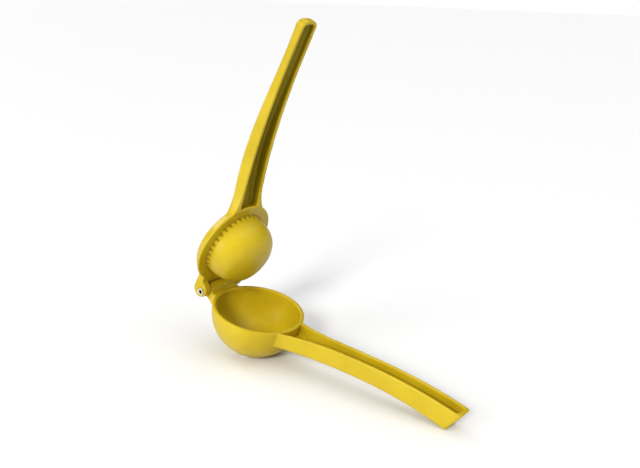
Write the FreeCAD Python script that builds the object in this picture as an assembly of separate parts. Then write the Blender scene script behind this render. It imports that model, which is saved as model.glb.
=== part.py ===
import FreeCAD, Part
import math
import os

V = FreeCAD.Vector

# Each jaw is drawn with the cup's axis on Z and its handle toward +X, and both are stood up at the end.

# cup of the lower jaw
CUP_R = 35.0
CUP_WALL = 3.2
CUP_BAND = 2.0
RIM_ROUND = 0.9
RIM_Z = CUP_R + CUP_BAND

# drain pattern in the bottom of the cup
DRAIN_HOLE_R = 2.0
DRAIN_SLOTS = 8
DRAIN_SLOT_W = 3.0
DRAIN_IN = 6.5
DRAIN_OUT = 16.0

# press of the upper jaw: domed plunger, flange round it and raised collar that leans in
SEAT_GAP = 1.8
SEAT_Z = RIM_Z + SEAT_GAP
FLANGE_LIP = 0.5
FLANGE_R = CUP_R + FLANGE_LIP
COLLAR_LEAN = 4.9
COLLAR_R = FLANGE_R - COLLAR_LEAN
COLLAR_H = 7.5
COLLAR_ROUND = 0.9
PRESS_WALL = 3.0
PRESS_BACK = 1.5
JUICE_GAP = 5.1
DOME_R = CUP_R - CUP_WALL - JUICE_GAP
DOME_H = 25.6
DOME_FULLNESS = 0.73
FLUTES = 36
FLUTE_R = 1.3
FLUTE_BITE = 0.7
FLUTE_LENGTH = 5.0

# handles: a long edge is a curve given by its height and slope at the root and at the tip
ROOT_BITE = 8.0
ROOT_X = CUP_R - ROOT_BITE
GRIP_WALL = 2.3
GRIP_FLOOR = 2.6
LONG_ROUND = 2.4
POCKET_ROUND = 1.6

# lower handle, measured from the cup's side and rim
LOWER_LENGTH = 142.2
LOWER_BASE_LENGTH = 133.8
LOWER_TOP = (RIM_Z - 1.4, 0.182, CUP_R + LOWER_LENGTH, RIM_Z + 13.3, -0.081)
LOWER_BASE = (RIM_Z - 13.3, 0.098, CUP_R + LOWER_BASE_LENGTH, RIM_Z - 2.5, -0.140)
LOWER_HALF = 6.9
LOWER_SPREAD = 9.6
LOWER_FLARE = 83.0
FLARE_START = 0.22
FLARE_REST = 0.09
FLARE_RUN_IN = 0.54
LOWER_END_WALL = 3.4

# upper handle, measured from the cup's side and the flange
UPPER_LENGTH = 142.7
UPPER_BACK = (SEAT_Z + 6.8, 0.420, CUP_R + UPPER_LENGTH, SEAT_Z + 20.5, 0.076)
UPPER_EDGE = (SEAT_Z - 1.4, 0.250, CUP_R + UPPER_LENGTH, SEAT_Z + 12.5, -0.019)
UPPER_SIDE = (11.5, -0.060, CUP_R + UPPER_LENGTH, 7.4, -0.010)
UPPER_SPREAD = 8.0
UPPER_FLARE = 22.0
UPPER_REST = 0.25
UPPER_END_WALL = 2.2
UPPER_END_ROUND = 5.0
UPPER_BACK_ROUND = 3.6

# hinge: a knuckle on the lower jaw between two ears of the upper jaw, on one rivet
HINGE_REACH = 7.2
HINGE_DROP = 0.3
HINGE_X = -CUP_R - HINGE_REACH
HINGE_Z = RIM_Z - HINGE_DROP
EYE_R = 5.0
KNUCKLE_HALF = 13.9
WEB_DEPTH = 15.0
WEB_LOW_ANGLE = 250.0
WEB_SWEEP = 5.0
WEB_TUCK = 1.5
WEB_BITE = 7.0
WEB_SINK = 0.45
SIDE_GAP = 0.25
EAR_W = 5.8
EAR_IN = KNUCKLE_HALF + SIDE_GAP
EAR_OUT = EAR_IN + EAR_W
EAR_R = 6.4
EAR_SHIFT_X = 1.0
EAR_SHIFT_Z = 1.7
EAR_RISE = 0.8
RIVET_R = 2.4
RUN_GAP = 0.08
HEAD_R = 3.9
HEAD_H = 1.1
HEAD_ROUND = 0.88
ROLL_R = 3.1
ROLL_H = 0.8
ROLL_ROUND = 0.56
ROLL_BORE_R = 1.4
ROLL_BORE_DEPTH = 4.5

# stance: how far the upper jaw stands open from closed, and the flats it rests on
OPENING = 75.2
CUP_FLAT_DEPTH = 0.8
TIP_FLAT_DEPTH = 0.4

# how far a cutting block reaches past what it cuts, and how near an edge lies to a curve it follows
PAST = 1.0
NEAR = 0.5


def line(a, b):
    return Part.LineSegment(V(*a), V(*b)).toShape()


def arc(a, b, c):
    return Part.Arc(V(*a), V(*b), V(*c)).toShape()


def bezier(points):
    curve = Part.BezierCurve()
    curve.setPoles([V(*p) for p in points])
    return curve.toShape()


def face(edges):
    return Part.Face(Part.Wire(Part.__sortEdges__(edges)))


def round_about(profile):
    return profile.revolve(V(0, 0, 0), V(0, 0, 1), 360)


def slope_curve(x0, z0, s0, x1, z1, s1):
    # a cubic that leaves (x0, z0) with slope s0 and reaches (x1, z1) with slope s1
    k = (x1 - x0) / 3.0
    return bezier([
        (x0, 0, z0),
        (x0 + k, 0, z0 + s0 * k),
        (x1 - k, 0, z1 - s1 * k),
        (x1, 0, z1),
    ])


def handle_side(top, base):
    # side view of a handle: two curved long edges, a straight root and a straight end
    tz0, ts0, tx1, tz1, ts1 = top
    bz0, bs0, bx1, bz1, bs1 = base
    return face([
        slope_curve(ROOT_X, tz0, ts0, tx1, tz1, ts1),
        slope_curve(ROOT_X, bz0, bs0, bx1, bz1, bs1),
        line((ROOT_X, 0, bz0), (ROOT_X, 0, tz0)),
        line((bx1, 0, bz1), (tx1, 0, tz1)),
    ])


def mirrored_plan(half_edges, root_half, tip_x, tip_half):
    # top view of a handle: one curved side, the same side mirrored, a straight root and end
    side = Part.Wire(Part.__sortEdges__(half_edges))
    other = side.mirror(V(0, 0, 0), V(0, 1, 0))
    ends = [
        line((ROOT_X, -root_half, 0), (ROOT_X, root_half, 0)),
        line((tip_x, -tip_half, 0), (tip_x, tip_half, 0)),
    ]
    return face(side.Edges + other.Edges + ends)


def lower_plan(inset, tip_x):
    # the lower handle flares out toward the cup and is parallel along the grip;
    # the flare's inner poles stand at the three flare shares of its length and spread
    grip = LOWER_HALF - inset
    root = grip + LOWER_SPREAD
    end_x = ROOT_X + LOWER_FLARE
    flare = bezier([
        (ROOT_X, root, 0),
        (ROOT_X + FLARE_START * LOWER_FLARE, grip + FLARE_REST * LOWER_SPREAD, 0),
        (ROOT_X + FLARE_RUN_IN * LOWER_FLARE, grip, 0),
        (end_x, grip, 0),
    ])
    return mirrored_plan([flare, line((end_x, grip, 0), (tip_x, grip, 0))], root, tip_x, grip)


def cut_short(plan, end_x):
    # the part of a top view that lies before end_x
    box = plan.BoundBox
    corner = V(box.XMin - PAST, -box.YMax - PAST, -PAST)
    keep = Part.makeBox(end_x - corner.x, -2 * corner.y, 2 * PAST, corner)
    return plan.common(keep).Faces[0]


def upper_pocket_plan(end_x):
    # inside of the upper channel, which narrows evenly from the collar to its end wall
    z0, s0, x1, z1, s1 = UPPER_SIDE
    taper = slope_curve(ROOT_X, z0 - GRIP_WALL, s0, x1, z1 - GRIP_WALL, s1)
    taper.rotate(V(0, 0, 0), V(1, 0, 0), -90)
    return cut_short(mirrored_plan([taper], z0 - GRIP_WALL, x1, z1 - GRIP_WALL), end_x)


def upper_plan():
    # outside of the upper handle: a short flare from the collar, then the same even taper
    neck_x = ROOT_X + UPPER_FLARE
    neck = height_on(UPPER_SIDE, neck_x)
    slope = slope_on(UPPER_SIDE, neck_x)
    root = UPPER_SIDE[0] + UPPER_SPREAD
    k = UPPER_FLARE / 3.0
    flare = bezier([
        (ROOT_X, root, 0),
        (ROOT_X + k, neck + UPPER_REST * UPPER_SPREAD, 0),
        (neck_x - k, neck - slope * k, 0),
        (neck_x, neck, 0),
    ])
    x1, tip, tip_slope = UPPER_SIDE[2:]
    taper = slope_curve(neck_x, neck, slope, x1, tip, tip_slope)
    taper.rotate(V(0, 0, 0), V(1, 0, 0), -90)
    return mirrored_plan([flare, taper], root, x1, tip)


def bar(side, plan, end_round=0.0):
    # the solid that fills both the side view and the top view, with its far end's corners rounded
    half = plan.BoundBox.YMax + PAST
    wide = side.copy()
    wide.translate(V(0, -half, 0))
    wide = wide.extrude(V(0, 2 * half, 0))
    tall = plan.extrude(V(0, 0, 3 * CUP_R))
    if end_round:
        end_x = plan.BoundBox.XMax
        tall = rounded(tall, end_round, lambda e: end_corner(e, end_x - NEAR))
    return wide.common(tall)


def rounded(solid, radius, wanted):
    return solid.makeFillet(radius, [e for e in solid.Edges if wanted(e)])


def middle(edge):
    return edge.valueAt(0.5 * (edge.FirstParameter + edge.LastParameter))


def height_on(curve, x):
    # height of a slope curve above the point x
    z0, s0, x1, z1, s1 = curve
    k = (x1 - ROOT_X) / 3.0
    t = (x - ROOT_X) / (x1 - ROOT_X)
    u = 1.0 - t
    return (z0 * u ** 3 + 3 * (z0 + s0 * k) * u * u * t
            + 3 * (z1 - s1 * k) * u * t * t + z1 * t ** 3)


def slope_on(curve, x):
    # slope of a slope curve at the point x
    z0, s0, x1, z1, s1 = curve
    t = (x - ROOT_X) / (x1 - ROOT_X)
    chord = (z1 - z0) / (x1 - ROOT_X)
    u = 1.0 - t
    return s0 * u * u + 2 * (3 * chord - s0 - s1) * u * t + s1 * t * t


def lifted(curve, rise):
    # the same slope curve, moved up
    z0, s0, x1, z1, s1 = curve
    return (z0 + rise, s0, x1, z1 + rise, s1)


def long_edge_on(edge, curve):
    # true for a side edge that follows one of the handle's long curves
    m = middle(edge)
    long_way = edge.BoundBox.XLength > 0.1 * (curve[2] - ROOT_X)
    return long_way and abs(m.y) > NEAR and abs(m.z - height_on(curve, m.x)) < NEAR


def end_corner(edge, x_min):
    # true for one of the two upright corners at a handle's end
    box = edge.BoundBox
    return box.XMin > x_min and box.ZLength > box.YLength + NEAR and abs(middle(edge).y) > NEAR


def pocket_side(wall_curve, lift, end_x, lean, open_z):
    # side view of the hollow in a handle, from its long wall to well past the open side
    z0, s0 = wall_curve[:2]
    z_end = height_on(wall_curve, end_x) + lift
    s_end = slope_on(wall_curve, end_x)
    return face([
        slope_curve(ROOT_X, z0 + lift, s0, end_x, z_end, s_end),
        line((end_x, 0, z_end), (end_x + lean * (open_z - z_end), 0, open_z)),
        line((ROOT_X, 0, open_z), (end_x + lean * (open_z - z_end), 0, open_z)),
        line((ROOT_X, 0, z0 + lift), (ROOT_X, 0, open_z)),
    ])


def cup_hollow():
    inside = CUP_R - CUP_WALL
    return Part.makeSphere(inside, V(0, 0, CUP_R)).fuse(
        Part.makeCylinder(inside, CUP_R, V(0, 0, CUP_R)))


def cup_profile(r, bottom):
    # half section of a round-bottomed cup: quarter circle and straight band
    s = math.sqrt(0.5)
    return [
        arc((0, 0, bottom), (r * s, 0, CUP_R - r * s), (r, 0, CUP_R)),
        line((r, 0, CUP_R), (r, 0, RIM_Z)),
    ]


def cup_shell():
    inside = CUP_R - CUP_WALL
    shell = round_about(face(
        cup_profile(CUP_R, 0.0) + cup_profile(inside, CUP_WALL) + [
            line((inside, 0, RIM_Z), (CUP_R, 0, RIM_Z)),
            line((0, 0, 0), (0, 0, CUP_WALL)),
        ]))
    return rounded(shell, RIM_ROUND, lambda e: e.BoundBox.ZMin > RIM_Z - 0.5 * RIM_ROUND)


def drain_cutters():
    # one round hole in the middle and a ring of slots that point at it
    cutters = [Part.makeCylinder(DRAIN_HOLE_R, CUP_R, V(0, 0, -PAST))]
    w = 0.5 * DRAIN_SLOT_W
    for i in range(DRAIN_SLOTS):
        slot = Part.makeBox(DRAIN_OUT - DRAIN_IN - 2 * w, 2 * w, CUP_R, V(DRAIN_IN + w, -w, -PAST))
        slot = slot.fuse(Part.makeCylinder(w, CUP_R, V(DRAIN_IN + w, 0, -PAST)))
        slot = slot.fuse(Part.makeCylinder(w, CUP_R, V(DRAIN_OUT - w, 0, -PAST)))
        slot.rotate(V(0, 0, 0), V(0, 0, 1), (i + 0.5) * 360.0 / DRAIN_SLOTS)
        cutters.append(slot)
    return Part.makeCompound(cutters)


def lower_handle():
    tip_x = LOWER_TOP[2]
    blank = bar(handle_side(LOWER_TOP, LOWER_BASE), lower_plan(0.0, tip_x))
    blank = rounded(
        blank, LONG_ROUND,
        lambda e: long_edge_on(e, LOWER_BASE) or end_corner(e, LOWER_BASE[2] - NEAR))
    lean = (LOWER_TOP[2] - LOWER_BASE[2]) / (LOWER_TOP[3] - LOWER_BASE[3])
    end_x = LOWER_BASE[2] - LOWER_END_WALL + lean * GRIP_FLOOR
    hollow = bar(
        pocket_side(LOWER_BASE, GRIP_FLOOR, end_x, lean, 2 * CUP_R),
        lower_plan(GRIP_WALL, tip_x + CUP_R))
    floor = lifted(LOWER_BASE, GRIP_FLOOR)
    hollow = rounded(
        hollow, POCKET_ROUND,
        lambda e: long_edge_on(e, floor) or end_corner(e, end_x - NEAR))
    return blank, hollow


def knuckle_and_web():
    # the eye of the lower jaw and the thick web that carries it on the back of the cup
    eye = Part.makeCylinder(
        EYE_R, 2 * KNUCKLE_HALF, V(HINGE_X, -KNUCKLE_HALF, HINGE_Z), V(0, 1, 0))
    top = RIM_Z - RIM_ROUND
    foot_z = RIM_Z - WEB_DEPTH
    foot_x = WEB_SINK - math.sqrt(CUP_R ** 2 - (CUP_R - foot_z) ** 2)
    inner = WEB_BITE - CUP_R
    a = math.radians(WEB_LOW_ANGLE)
    low_x = HINGE_X + EYE_R * math.cos(a)
    low_z = HINGE_Z + EYE_R * math.sin(a)
    under = bezier([
        (low_x, 0, low_z),
        (low_x - WEB_SWEEP * math.sin(a), 0, low_z + WEB_SWEEP * math.cos(a)),
        (foot_x - WEB_TUCK, 0, foot_z + WEB_SWEEP),
        (foot_x, 0, foot_z),
    ])
    web = face([
        line((HINGE_X, 0, top), (inner, 0, top)),
        line((inner, 0, top), (inner, 0, foot_z)),
        line((inner, 0, foot_z), (foot_x, 0, foot_z)),
        under,
        line((low_x, 0, low_z), (HINGE_X, 0, top)),
    ])
    web.translate(V(0, -KNUCKLE_HALF, 0))
    return eye.fuse(web.extrude(V(0, 2 * KNUCKLE_HALF, 0)))


def lower_jaw():
    blank, hollow = lower_handle()
    channel = blank.cut(hollow)
    jaw = cup_shell().fuse([channel, knuckle_and_web()])
    jaw = jaw.cut(cup_hollow())
    bore = Part.makeCylinder(
        RIVET_R + RUN_GAP, 2 * EAR_OUT, V(HINGE_X, -EAR_OUT, HINGE_Z), V(0, 1, 0))
    return jaw.cut([bore, drain_cutters()])


def dome_curve(r, top):
    # full, rounded half section of the plunger, from its lowest point to its root
    k = DOME_FULLNESS
    low = top - DOME_H
    return bezier([
        (0, 0, low),
        (k * r, 0, low),
        (r, 0, top - k * DOME_H),
        (r, 0, top),
    ])


def press_shell():
    w = PRESS_WALL
    top = SEAT_Z + COLLAR_H
    lean = (FLANGE_R - COLLAR_R) / COLLAR_H
    inner_root = FLANGE_R - w - lean * w
    shell = round_about(face([
        dome_curve(DOME_R, SEAT_Z),
        line((DOME_R, 0, SEAT_Z), (FLANGE_R, 0, SEAT_Z)),
        line((FLANGE_R, 0, SEAT_Z), (COLLAR_R, 0, top)),
        line((COLLAR_R, 0, top), (COLLAR_R - w, 0, top)),
        line((COLLAR_R - w, 0, top), (inner_root, 0, SEAT_Z + w)),
        line((inner_root, 0, SEAT_Z + w), (DOME_R - w, 0, SEAT_Z + w)),
        dome_curve(DOME_R - w, SEAT_Z + w),
        line((0, 0, SEAT_Z - DOME_H), (0, 0, SEAT_Z - DOME_H + w)),
    ]))
    wide = 2 * (COLLAR_R - w) - COLLAR_ROUND
    return rounded(shell, COLLAR_ROUND, lambda e: e.BoundBox.XLength > wide)


def press_hollow():
    # the open back of the press: inside of the dome and collar, and the air above
    w = PRESS_WALL
    top = SEAT_Z + COLLAR_H
    lean = (FLANGE_R - COLLAR_R) / COLLAR_H
    inner_root = FLANGE_R - w - lean * w
    return round_about(face([
        dome_curve(DOME_R - w, SEAT_Z + w),
        line((DOME_R - w, 0, SEAT_Z + w), (inner_root, 0, SEAT_Z + w)),
        line((inner_root, 0, SEAT_Z + w), (COLLAR_R - w, 0, top)),
        line((COLLAR_R - w, 0, top), (COLLAR_R - w, 0, top + CUP_R)),
        line((COLLAR_R - w, 0, top + CUP_R), (0, 0, top + CUP_R)),
        line((0, 0, top + CUP_R), (0, 0, SEAT_Z - DOME_H + w)),
    ]))


def flute_cutters():
    # short grooves side by side round the root of the dome, each running out to nothing
    cutters = []
    lean = math.degrees(math.atan(FLUTE_BITE / FLUTE_LENGTH))
    root = V(DOME_R + FLUTE_R - FLUTE_BITE, 0, SEAT_Z)
    for i in range(FLUTES):
        flute = Part.makeCylinder(FLUTE_R, 2 * FLUTE_LENGTH, root, V(0, 0, -1))
        flute.rotate(root, V(0, 1, 0), -lean)
        flute.rotate(V(0, 0, 0), V(0, 0, 1), (i + 0.5) * 360.0 / FLUTES)
        cutters.append(flute)
    flange = Part.makeCylinder(FLANGE_R, FLUTE_R, V(0, 0, SEAT_Z))
    return Part.makeCompound(cutters).cut(flange)


def upper_handle():
    tip_x = UPPER_BACK[2]
    blank = bar(handle_side(UPPER_BACK, UPPER_EDGE), upper_plan(), UPPER_END_ROUND)
    blank = rounded(blank, UPPER_BACK_ROUND, lambda e: long_edge_on(e, UPPER_BACK))
    below = Part.makeBox(2 * tip_x, 2 * CUP_R, SEAT_Z, V(0, -CUP_R, 0))
    end_x = tip_x - UPPER_END_WALL
    hollow = bar(
        pocket_side(UPPER_BACK, -GRIP_FLOOR, end_x + PAST, 0.0, 0.5 * CUP_R),
        upper_pocket_plan(end_x), UPPER_END_ROUND - UPPER_END_WALL)
    ceiling = lifted(UPPER_BACK, -GRIP_FLOOR)
    hollow = rounded(hollow, POCKET_ROUND, lambda e: long_edge_on(e, ceiling))
    return blank.cut(below), hollow


def tangent_point(p, cx, cz, r, side):
    # where a straight line from p in the side view touches the circle r about (cx, cz)
    dx = p[0] - cx
    dz = p[1] - cz
    a = math.atan2(dz, dx) + side * math.acos(r / math.hypot(dx, dz))
    return (cx + r * math.cos(a), 0, cz + r * math.sin(a))


def ears():
    # two cheeks that reach back and down from the collar to the rivet
    cx = HINGE_X + EAR_SHIFT_X
    cz = HINGE_Z + EAR_SHIFT_Z
    toe_x = -PRESS_BACK - math.sqrt(FLANGE_R ** 2 - EAR_IN ** 2)
    heel_x = -PRESS_BACK - math.sqrt(COLLAR_R ** 2 - EAR_OUT ** 2)
    heel_z = SEAT_Z + EAR_RISE * COLLAR_H
    inner = heel_x + PRESS_WALL
    under = tangent_point((toe_x, SEAT_Z), cx, cz, EAR_R, -1)
    over = tangent_point((heel_x, heel_z), cx, cz, EAR_R, 1)
    outline = face([
        line((cx, 0, cz), under),
        line(under, (toe_x, 0, SEAT_Z)),
        line((toe_x, 0, SEAT_Z), (inner, 0, SEAT_Z)),
        line((inner, 0, SEAT_Z), (inner, 0, heel_z)),
        line((inner, 0, heel_z), (heel_x, 0, heel_z)),
        line((heel_x, 0, heel_z), over),
        line(over, (cx, 0, cz)),
    ])
    pair = []
    for y in (-EAR_OUT, EAR_IN):
        arm = outline.copy()
        arm.translate(V(0, y, 0))
        arm = arm.extrude(V(0, EAR_W, 0))
        pair.append(arm.fuse(Part.makeCylinder(EAR_R, EAR_W, V(cx, y, cz), V(0, 1, 0))))
    return pair


def set_back(shape):
    # the press stands a little nearer the hinge than the middle of the cup
    shape.translate(V(-PRESS_BACK, 0, 0))
    return shape


def upper_jaw():
    blank, hollow = upper_handle()
    press = set_back(press_shell().fuse(blank.cut(hollow)))
    jaw = press.fuse(ears())
    bore = Part.makeCylinder(
        RIVET_R, 2 * EAR_OUT + 2 * PAST, V(HINGE_X, -EAR_OUT - PAST, HINGE_Z), V(0, 1, 0))
    return jaw.cut([set_back(press_hollow()), set_back(flute_cutters()), bore])


def hinge_rivet():
    # shank through both ears, a low domed head at one end and a rolled hollow end at the other
    y = V(0, 1, 0)
    shank = Part.makeCylinder(RIVET_R, 2 * EAR_OUT, V(HINGE_X, -EAR_OUT, HINGE_Z), y)
    head = Part.makeCylinder(HEAD_R, HEAD_H, V(HINGE_X, EAR_OUT, HINGE_Z), y)
    head = rounded(head, HEAD_ROUND, lambda e: e.BoundBox.YMin > EAR_OUT + 0.5 * HEAD_H)
    roll = Part.makeCylinder(ROLL_R, ROLL_H, V(HINGE_X, -EAR_OUT - ROLL_H, HINGE_Z), y)
    rivet = shank.fuse([head, roll])
    mouth = Part.makeCylinder(
        ROLL_BORE_R, ROLL_BORE_DEPTH, V(HINGE_X, -EAR_OUT - ROLL_H, HINGE_Z), y)
    rivet = rivet.cut(mouth)
    outer = -EAR_OUT - 0.5 * ROLL_H
    return rounded(rivet, ROLL_ROUND, lambda e: e.BoundBox.YMax < outer)


def stand_tilt():
    # lean of the lower jaw when the flat under the cup and the flat at the tip lie on one plane
    reach = CUP_R - CUP_FLAT_DEPTH + TIP_FLAT_DEPTH
    a = LOWER_BASE[2]
    b = CUP_R - LOWER_BASE[3]
    return math.asin(reach / math.hypot(a, b)) - math.atan2(b, a)


def stood_up(shape):
    tilt = stand_tilt()
    shape = shape.copy()
    shape.rotate(V(0, 0, 0), V(0, 1, 0), math.degrees(tilt))
    shape.translate(V(0, 0, CUP_R - CUP_FLAT_DEPTH - CUP_R * math.cos(tilt)))
    return shape


def opened(shape):
    shape = shape.copy()
    shape.rotate(V(HINGE_X, 0, HINGE_Z), V(0, 1, 0), -OPENING)
    return shape


def flattened(shape):
    # takes off what would lie below the table
    box = shape.BoundBox
    table = Part.makeBox(box.XLength, box.YLength, CUP_R, V(box.XMin, box.YMin, -CUP_R))
    return shape.cut(table)


solids = {
    "lower_jaw": flattened(stood_up(lower_jaw())),
    "upper_jaw": stood_up(opened(upper_jaw())),
    "hinge_rivet": stood_up(opened(hinge_rivet())),
}
whole = Part.makeCompound(list(solids.values())).optimalBoundingBox()
os.makedirs("parts", exist_ok=True)
for name, solid in solids.items():
    solid = solid.removeSplitter()
    solid.translate(V(-0.5 * (whole.XMin + whole.XMax), 0, 0))
    solid.exportStep("parts/" + name + ".step")
    print(name, solid.isValid(), len(solid.Solids), round(solid.Volume), solid.BoundBox)
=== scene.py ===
import math
import bpy
from mathutils import Matrix, Vector


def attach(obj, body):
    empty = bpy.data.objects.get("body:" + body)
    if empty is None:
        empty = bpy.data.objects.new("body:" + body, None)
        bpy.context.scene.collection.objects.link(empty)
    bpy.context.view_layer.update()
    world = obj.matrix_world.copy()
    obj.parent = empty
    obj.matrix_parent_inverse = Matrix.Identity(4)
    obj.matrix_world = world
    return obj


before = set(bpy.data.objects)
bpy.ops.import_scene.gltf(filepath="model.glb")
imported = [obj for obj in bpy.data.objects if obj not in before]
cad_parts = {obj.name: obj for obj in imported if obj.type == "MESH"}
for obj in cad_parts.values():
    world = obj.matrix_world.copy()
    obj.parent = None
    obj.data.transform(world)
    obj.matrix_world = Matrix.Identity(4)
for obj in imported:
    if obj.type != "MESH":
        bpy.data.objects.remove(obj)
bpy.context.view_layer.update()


# Lower jaw: the round drained cup with its long channelled handle and the wide knuckle behind it.
# One aluminium casting, tumbled smooth and then coated all over with glossy yellow enamel.
# Its colour is painted darker in the hollow corners and lighter on outward edges as shade, and
# the coat rounds every cast edge.
YELLOW = (0.490, 0.362, 0.0140, 1)
YELLOW_THIN = (0.532, 0.402, 0.022, 1)
YELLOW_DEEP = (0.425, 0.302, 0.008, 1)
YELLOW_PIT = (0.350, 0.242, 0.007, 1)
TONE_STOPS = ((0.32, YELLOW_DEEP), (0.52, YELLOW), (0.72, YELLOW_THIN))
DRIFT_SCALE = 38.0      # the coat's thickness drifts over about 26 mm
SWELL_SCALE = 160.0     # the casting is uneven over about 6 mm
PEEL_SCALE = 900.0      # the orange peel of the coat is about 1 mm wide
PIT_SCALE = 330.0       # each pit of the casting has a cell of about 3 mm to itself
PIT_EDGE = (0.16, 0.05)     # from a pit's rim to its middle, in shares of its cell
PIT_FEW = (0.56, 0.62)      # pits show only where the coat's drift runs this high
EDGE_RANGE = (0.40, 0.60)   # painted shade, from a hollow corner to an outward edge
# share of the painted corner shade in the coat's colour
EDGE_SHADE_SHARE = 0.30
SWELL_RANGE = (0.3, 0.7)
SWELL_STRENGTH, SWELL_HEIGHT = 0.20, 0.0010
PEEL_STRENGTH, PEEL_HEIGHT = 0.22, 0.0002
ENAMEL_ROUGHNESS = (0.34, 0.46)
COAT_SKIN = 0.0005      # mesh size of the coat's skin
COAT_PASSES = 6         # rounds of easing at its edges
FLOW = 0.5
LOWER_SEED = 0.31       # shifts the pattern, so that no two castings are alike


def wire(tree, node, inputs):
    """Links each socket given as an input to the node, and sets each plain value."""
    for name, value in inputs.items():
        if isinstance(value, bpy.types.NodeSocket):
            tree.links.new(value, node.inputs[name])
        else:
            node.inputs[name].default_value = value
    return node


def add(tree, kind, inputs, **options):
    """Adds a shader node with its options set and its inputs wired."""
    node = tree.nodes.new("ShaderNode" + kind)
    for option, value in options.items():
        setattr(node, option, value)
    return wire(tree, node, inputs)


def span(tree, value, start, end, low=0.0, high=1.0, kind="LINEAR"):
    """Runs from low to high while the value runs from start to end."""
    return add(tree, "MapRange", {
        "Value": value, "From Min": start, "From Max": end,
        "To Min": low, "To Max": high}, interpolation_type=kind).outputs["Result"]


def blend(tree, amount, under, over):
    """Mixes two colours by an amount from 0 to 1."""
    return add(tree, "Mix", {"Factor": amount, "A": under, "B": over},
               data_type="RGBA").outputs["Result"]


def ramp(tree, value, stops):
    """Colours a value by stops of position and colour, in rising order."""
    node = add(tree, "ValToRGB", {"Fac": value})
    elements = node.color_ramp.elements
    while len(elements) < len(stops):
        elements.new(1.0)
    for element, (position, colour) in zip(elements, stops):
        element.position = position
        element.color = colour
    return node.outputs["Color"]


def new_material(name):
    mat = bpy.data.materials.new(name)
    mat.use_nodes = True
    return mat


def enamel(name, seed):
    mat = new_material(name)
    tree = mat.node_tree
    place = add(tree, "VectorMath", {
        0: add(tree, "TexCoord", {}).outputs["Object"],
        1: (seed, seed * 0.37, -seed)}, operation="ADD").outputs[0]

    # slow drift of the coat's thickness over a few centimetres
    drift = add(tree, "TexNoise", {
        "Vector": place, "Scale": DRIFT_SCALE, "Detail": 3.0}).outputs["Fac"]
    tone = ramp(tree, drift, TONE_STOPS)

    # painted shade: darker in hollow corners, lighter on outward edges
    edge = add(tree, "NewGeometry", {}).outputs["Pointiness"]
    corner_shade = blend(tree, span(tree, edge, *EDGE_RANGE), YELLOW_DEEP, YELLOW_THIN)
    coat = blend(tree, EDGE_SHADE_SHARE, tone, corner_shade)

    # sparse pin-size pits of the casting, where the coat lies thick and dark
    cells = add(tree, "TexVoronoi", {"Vector": place, "Scale": PIT_SCALE}).outputs["Distance"]
    pits = add(tree, "Math", {
        0: span(tree, cells, *PIT_EDGE),
        1: span(tree, drift, *PIT_FEW)}, operation="MULTIPLY").outputs[0]

    # faint orange peel of the fired coat over the softer unevenness of the casting
    swell = add(tree, "TexNoise", {
        "Vector": place, "Scale": SWELL_SCALE, "Detail": 1.0}).outputs["Fac"]
    peel = add(tree, "TexNoise", {
        "Vector": place, "Scale": PEEL_SCALE, "Detail": 2.0}).outputs["Fac"]
    uneven = add(tree, "Bump", {
        "Height": swell, "Strength": SWELL_STRENGTH, "Distance": SWELL_HEIGHT})
    peeled = add(tree, "Bump", {
        "Height": peel, "Strength": PEEL_STRENGTH, "Distance": PEEL_HEIGHT,
        "Normal": uneven.outputs["Normal"]})

    wire(tree, tree.nodes["Principled BSDF"], {
        "Base Color": blend(tree, pits, coat, YELLOW_PIT),
        "Normal": peeled.outputs["Normal"],
        "Roughness": span(tree, swell, *SWELL_RANGE, *ENAMEL_ROUGHNESS),
        "Coat Weight": 0.16, "Coat Roughness": 0.17, "Coat IOR": 1.5,
        "IOR": 1.5, "Specular IOR Level": 0.30})
    return mat


def dressed(piece, mat, layer, skin_size, passes):
    """Covers the solid with one closed skin of the material and eases its edges."""
    for slot in piece.material_slots:
        slot.material = mat
    skin = piece.modifiers.new(layer + "_skin", "REMESH")
    skin.mode = "VOXEL"
    skin.voxel_size = skin_size
    skin.use_smooth_shade = True
    flow = piece.modifiers.new(layer + "_flow", "SMOOTH")
    flow.factor = FLOW
    flow.iterations = passes


lower_enamel = enamel("lower_enamel", LOWER_SEED)
dressed(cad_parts["lower_jaw"], lower_enamel, "enamel", COAT_SKIN, COAT_PASSES)


# Upper jaw: the domed press, its flange and collar, the upper handle and the two hinge ears.
# One aluminium casting with the same yellow coat, from its own firing. Its colour is painted
# dark as shade in the short flutes round the root of the dome and down inside the handle's
# channel.
UPPER_SEED = 1.73
HINGE = Vector((-0.105073, 0.0, 0.044393))
PRESS_TURN = math.radians(63.54)    # the flange's slope as the squeezer stands open
PRESS_AXIS = 0.0407     # from the hinge to the dome's axis
SEAT = 0.0021           # from the hinge up to the flange's face
FLUTES = 36
# painted shade for the flutes and the dome's foot
FLUTE_PAINTED_SHADE = (0.240, 0.165, 0.004, 1)
FLUTE_WIDTH = (0.1, -0.8)           # from a flute's lip to its bottom, as a cosine
FLUTE_LENGTH = (-0.0034, -0.0012)   # from a flute's tip towards the flange's face
ROOT_HEIGHT = (-0.0013, -0.0001)    # the dome's foot, where a fainter painted shade starts
ROOT_SHARE = 0.55
ROOT_INNER = (0.0244, 0.0252)       # the painted shade's ring, from the dome's axis
ROOT_OUTER = (0.0282, 0.0272)
ROOT_TOP = (0.0006, 0.0002)
# painted shade for the inside of the handle's channel
GRIP_PAINTED_SHADE = (0.285, 0.216, 0.004, 1)
GRIP_START = 0.0677     # from the hinge to the channel's near end
GRIP_LENGTH = 0.1507
GRIP_ENDS = ((0.03, 0.06), (0.9935, 0.9905))    # in shares of that length
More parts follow.
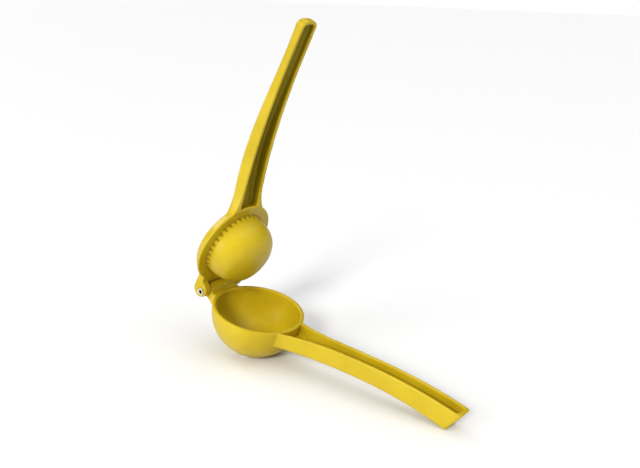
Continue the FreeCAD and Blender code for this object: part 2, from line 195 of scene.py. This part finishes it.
# cubic factors along the grip of its edge's height, its floor's height and its half width
GRIP_EDGE = (0.00070, 0.03768, -0.03079, 0.00701)
GRIP_FLOOR = (0.00715, 0.06330, -0.09695, 0.04735)
GRIP_SIDE = (0.01030, -0.00904, 0.00729, -0.00235)
SIDE_FADE = (0.0, 0.0004)           # how the painted shade starts at each wall of the channel
FLOOR_FADE = (0.0, 0.0003)
DEPTH_FADE = (0.0002, 0.0022)


# Paints shade into the flutes, the dome's foot and the handle's channel.
def painted_hollow_shade(mat):
    tree = mat.node_tree
    skin = tree.nodes["Principled BSDF"]

    def maths(operation, *values):
        return add(tree, "Math", dict(enumerate(values)), operation=operation).outputs[0]

    def times(first, *others):
        for other in others:
            first = maths("MULTIPLY", first, other)
        return first

    def within(value, limits):
        return span(tree, value, *limits, kind="SMOOTHSTEP")

    def along_grip(factors):
        value = factors[-1]
        for factor in reversed(factors[:-1]):
            value = maths("ADD", maths("MULTIPLY", along, value), factor)
        return value

    def shaded(amount, shade):
        plain = skin.inputs["Base Color"].links[0].from_socket
        wire(tree, skin, {"Base Color": blend(tree, amount, plain, shade)})

    # places as seen from the hinge, along the flange's face
    seat = add(tree, "Mapping", {
        "Vector": add(tree, "TexCoord", {}).outputs["Object"],
        "Location": HINGE, "Rotation": (0.0, -PRESS_TURN, 0.0)}, vector_type="TEXTURE")
    forward, side, up = add(tree, "SeparateXYZ", {0: seat.outputs["Vector"]}).outputs

    # painted shade in the flutes and on the foot of the dome between them
    out = maths("SUBTRACT", forward, PRESS_AXIS)
    rise = maths("SUBTRACT", up, SEAT)
    radius = maths("SQRT", maths("ADD", times(out, out), times(side, side)))
    wave = maths("COSINE", times(maths("ARCTAN2", side, out), FLUTES))
    groove = times(within(wave, FLUTE_WIDTH), within(rise, FLUTE_LENGTH))
    foot = times(within(rise, ROOT_HEIGHT), ROOT_SHARE)
    shaded(times(maths("MAXIMUM", groove, foot), within(radius, ROOT_INNER),
                 within(radius, ROOT_OUTER), within(rise, ROOT_TOP)), FLUTE_PAINTED_SHADE)

    # painted shade inside the handle's channel, deepening from its edge to its floor
    along = maths("DIVIDE", maths("SUBTRACT", forward, GRIP_START), GRIP_LENGTH)
    depth = maths("SUBTRACT", up, along_grip(GRIP_EDGE))
    below = maths("SUBTRACT", along_grip(GRIP_FLOOR), up)
    inside = maths("SUBTRACT", along_grip(GRIP_SIDE), maths("ABSOLUTE", side))
    shaded(times(within(inside, SIDE_FADE), within(below, FLOOR_FADE),
                 within(along, GRIP_ENDS[0]), within(along, GRIP_ENDS[1]),
                 within(depth, DEPTH_FADE)), GRIP_PAINTED_SHADE)


upper_enamel = enamel("upper_enamel", UPPER_SEED)
painted_hollow_shade(upper_enamel)
dressed(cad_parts["upper_jaw"], upper_enamel, "enamel", COAT_SKIN, COAT_PASSES)


# Skirt: the low wall between the two ears that carries the flange's face down to the knuckle.
# It is part of the upper casting, under the same coat, and clears the knuckle by a running gap.
# Its section runs round the knuckle and then bows out to the slope of the collar.
SKIRT_HALF = 0.01455    # half its width, between the two ears
SKIRT_BORE = 0.00535    # radius of its hollow side, from the rivet's axis
SKIRT_SINK = 0.00018    # how far its face lies behind the flange's
SKIRT_TOP = 0.0036
SKIRT_BITE = 0.0009     # how deep it sinks into the flange and the collar
SKIRT_BOW = 0.45        # where along its upper side the bow turns
SKIRT_DIP = 0.0002
FLANGE_R = 0.0355
COLLAR_LEAN = 0.0049 / 0.0075
BORE_END = math.radians(62.0)
BORE_STEPS = 8
BOW_STEPS = 6
SKIRT_STEPS = 28


def skirt_section(y):
    edge = PRESS_AXIS - math.sqrt(FLANGE_R ** 2 - y * y)
    collar_r = FLANGE_R - COLLAR_LEAN * SKIRT_TOP
    collar = PRESS_AXIS - math.sqrt(collar_r ** 2 - y * y)
    face = SEAT + SKIRT_SINK
    section = [(edge + SKIRT_BITE, face)]
    start = math.asin(face / SKIRT_BORE)
    for i in range(BORE_STEPS + 1):
        a = start + (BORE_END - start) * i / BORE_STEPS
        section.append((SKIRT_BORE * math.cos(a), SKIRT_BORE * math.sin(a)))
    x0, z0 = section[-1]
    x2, z2 = collar + SKIRT_BITE, SEAT + SKIRT_TOP
    x1, z1 = (1 - SKIRT_BOW) * x0 + SKIRT_BOW * x2, z0 - SKIRT_DIP
    for i in range(1, BOW_STEPS + 1):
        t = i / BOW_STEPS
        section.append(((1 - t) ** 2 * x0 + 2 * t * (1 - t) * x1 + t * t * x2,
                        (1 - t) ** 2 * z0 + 2 * t * (1 - t) * z1 + t * t * z2))
    return section


skirt_points = []
for i in range(SKIRT_STEPS + 1):
    y = SKIRT_HALF * (2 * i / SKIRT_STEPS - 1)
    for x, z in skirt_section(y):
        skirt_points.append(HINGE + Vector((
            x * math.cos(PRESS_TURN) - z * math.sin(PRESS_TURN), y,
            x * math.sin(PRESS_TURN) + z * math.cos(PRESS_TURN))))
around = len(skirt_points) // (SKIRT_STEPS + 1)
far_end = SKIRT_STEPS * around
skirt_faces = [tuple(range(around)), tuple(range(far_end, far_end + around))[::-1]]
for i in range(0, far_end, around):
    for j in range(around):
        k = (j + 1) % around
        skirt_faces.append((i + j, i + around + j, i + around + k, i + k))
skirt_mesh = bpy.data.meshes.new("press_skirt")
skirt_mesh.from_pydata(skirt_points, [], skirt_faces)
skirt_mesh.materials.append(upper_enamel)
skirt = bpy.data.objects.new("press_skirt", skirt_mesh)
bpy.context.scene.collection.objects.link(skirt)
dressed(skirt, upper_enamel, "enamel", COAT_SKIN, COAT_PASSES)
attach(skirt, "upper")


# Hinge rivet: bright steel, with a low head on one side and a rolled hollow end on the other.
# It is pressed through both ears and the knuckle turns on it.
# The rolling tool left fine rings on it, and the inside of its mouth is painted dark as shade.
STEEL_BRIGHT = (0.78, 0.75, 0.62, 1)
STEEL_WORN = (0.52, 0.49, 0.40, 1)
STEEL_MOUTH_SHADE = (0.26, 0.22, 0.12, 1)
STEEL_STOPS = ((0.30, STEEL_WORN), (0.55, STEEL_BRIGHT))
STEEL_ROUGHNESS = (0.24, 0.42)
RING_SCALE = 420.0
WEAR_SCALE = 700.0
RIVET_HALF = 0.0206     # from the middle to the rolled end
MOUTH_DEPTH = (0.0006, 0.0016)      # where the painted shade starts and is full, in from the rolled end
RIVET_SKIN = 0.00016
RIVET_PASSES = 3

rivet_steel = new_material("rivet_steel")
tree = rivet_steel.node_tree
on_axis = add(tree, "Mapping", {
    "Vector": add(tree, "TexCoord", {}).outputs["Object"],
    "Location": HINGE}, vector_type="TEXTURE").outputs["Vector"]
rings = add(tree, "TexWave", {
    "Vector": on_axis, "Scale": RING_SCALE, "Distortion": 1.2, "Detail": 2.0},
    wave_type="RINGS", rings_direction="Y")
ringed = add(tree, "Bump", {
    "Height": rings.outputs["Fac"], "Strength": 0.18, "Distance": 0.0001})
wear = add(tree, "TexNoise", {
    "Vector": on_axis, "Scale": WEAR_SCALE, "Detail": 4.0}).outputs["Fac"]
across = add(tree, "SeparateXYZ", {0: on_axis}).outputs["Y"]
# painted shade, deepening into the rolled end's hollow mouth
mouth = span(tree, across, -RIVET_HALF + MOUTH_DEPTH[0], -RIVET_HALF + MOUTH_DEPTH[1])
wire(tree, tree.nodes["Principled BSDF"], {
    "Metallic": 1.0,
    "Base Color": blend(tree, mouth, ramp(tree, wear, STEEL_STOPS), STEEL_MOUTH_SHADE),
    "Normal": ringed.outputs["Normal"],
    "Roughness": span(tree, wear, 0.0, 1.0, *STEEL_ROUGHNESS)})
dressed(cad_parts["hinge_rivet"], rivet_steel, "rivet", RIVET_SKIN, RIVET_PASSES)


# Floor: a plain white sheet that the squeezer stands on.
# It runs far past the picture, so that its edge never shows.
FLOOR_WHITE = (0.80, 0.80, 0.80, 1)
FLOOR_ROUGHNESS = 0.6
FLOOR_HALF = 40.0
floor_mesh = bpy.data.meshes.new("floor")
floor_mesh.from_pydata(
    [(-FLOOR_HALF, -FLOOR_HALF, 0), (FLOOR_HALF, -FLOOR_HALF, 0),
     (FLOOR_HALF, FLOOR_HALF, 0), (-FLOOR_HALF, FLOOR_HALF, 0)], [], [(0, 1, 2, 3)])
floor = bpy.data.objects.new("floor", floor_mesh)
bpy.context.scene.collection.objects.link(floor)
floor_paint = new_material("floor_paint")
wire(floor_paint.node_tree, floor_paint.node_tree.nodes["Principled BSDF"], {
    "Base Color": FLOOR_WHITE, "Roughness": FLOOR_ROUGHNESS})
floor_mesh.materials.append(floor_paint)


# Studio light: a broad low lamp at the front left, a high lamp that throws the soft shadow
# to the right and back, weaker ones for the left side and the right, and a wide ceiling.
# The room is dim, with a pale horizon that runs on from the floor.
LAMPS = (       # name, strength, width in degrees, way towards it, seen in the enamel
    ("low_lamp", 0.95, 34.0, (-0.35, -0.87, 0.31), True),
    ("high_lamp", 2.05, 14.0, (0.27, -0.84, 0.477), False),
    ("side_lamp", 0.36, 18.0, (-0.88, 0.13, 0.45), True),
    ("fill_lamp", 0.55, 60.0, (0.75, 0.10, 0.65), False),
    ("ceiling", 1.50, 100.0, (0.0, 0.0, 1.0), True))
LAMP_REACH = 2.0
ABOVE_CUP = Vector((-0.03, 0.0, 0.08))
HORIZON_STOPS = ((0.03, (0.85, 0.85, 0.85, 1)), (0.10, (0.07, 0.07, 0.07, 1)))
for name, strength, width, way, seen in LAMPS:
    light = bpy.data.lights.new(name, "SUN")
    light.energy = strength
    light.angle = math.radians(width)
    lamp = bpy.data.objects.new(name, light)
    bpy.context.scene.collection.objects.link(lamp)
    lamp.location = ABOVE_CUP + Vector(way).normalized() * LAMP_REACH
    lamp.rotation_euler = Vector(way).to_track_quat("Z", "Y").to_euler()
    lamp.visible_glossy = seen

room = bpy.data.worlds.new("room")
room.use_nodes = True
tree = room.node_tree
height = add(tree, "SeparateXYZ", {
    0: add(tree, "TexCoord", {}).outputs["Generated"]}).outputs["Z"]
wire(tree, tree.nodes["Background"], {"Color": ramp(tree, height, HORIZON_STOPS)})
bpy.context.scene.world = room
bpy.context.scene.view_settings.view_transform = "Standard"
bpy.context.scene.view_settings.look = "Medium High Contrast"


# Camera: the photograph's place, aim, slight roll and lens, fitted to the squeezer.
# The angles are the turn about the vertical, the look down and the roll.
LENS = 44.0
SENSOR = 36.0
CAMERA_PLACE = (0.30220, -0.40965, 0.26105)
AZIMUTH = math.radians(37.167)
ELEVATION = math.radians(16.743)
ROLL = math.radians(2.086)
camera_data = bpy.data.cameras.new("camera")
camera_data.sensor_width = SENSOR
camera_data.lens = LENS
camera = bpy.data.objects.new("camera", camera_data)
bpy.context.scene.collection.objects.link(camera)
back = Vector((math.sin(AZIMUTH) * math.cos(ELEVATION),
               -math.cos(AZIMUTH) * math.cos(ELEVATION), math.sin(ELEVATION)))
right = (-back).cross(Vector((0, 0, 1))).normalized()
up = right.cross(-back)
right, up = (right * math.cos(ROLL) + up * math.sin(ROLL),
             up * math.cos(ROLL) - right * math.sin(ROLL))
turn = Matrix((right, up, back)).transposed().to_4x4()
camera.matrix_world = Matrix.Translation(CAMERA_PLACE) @ turn
bpy.context.scene.camera = camera
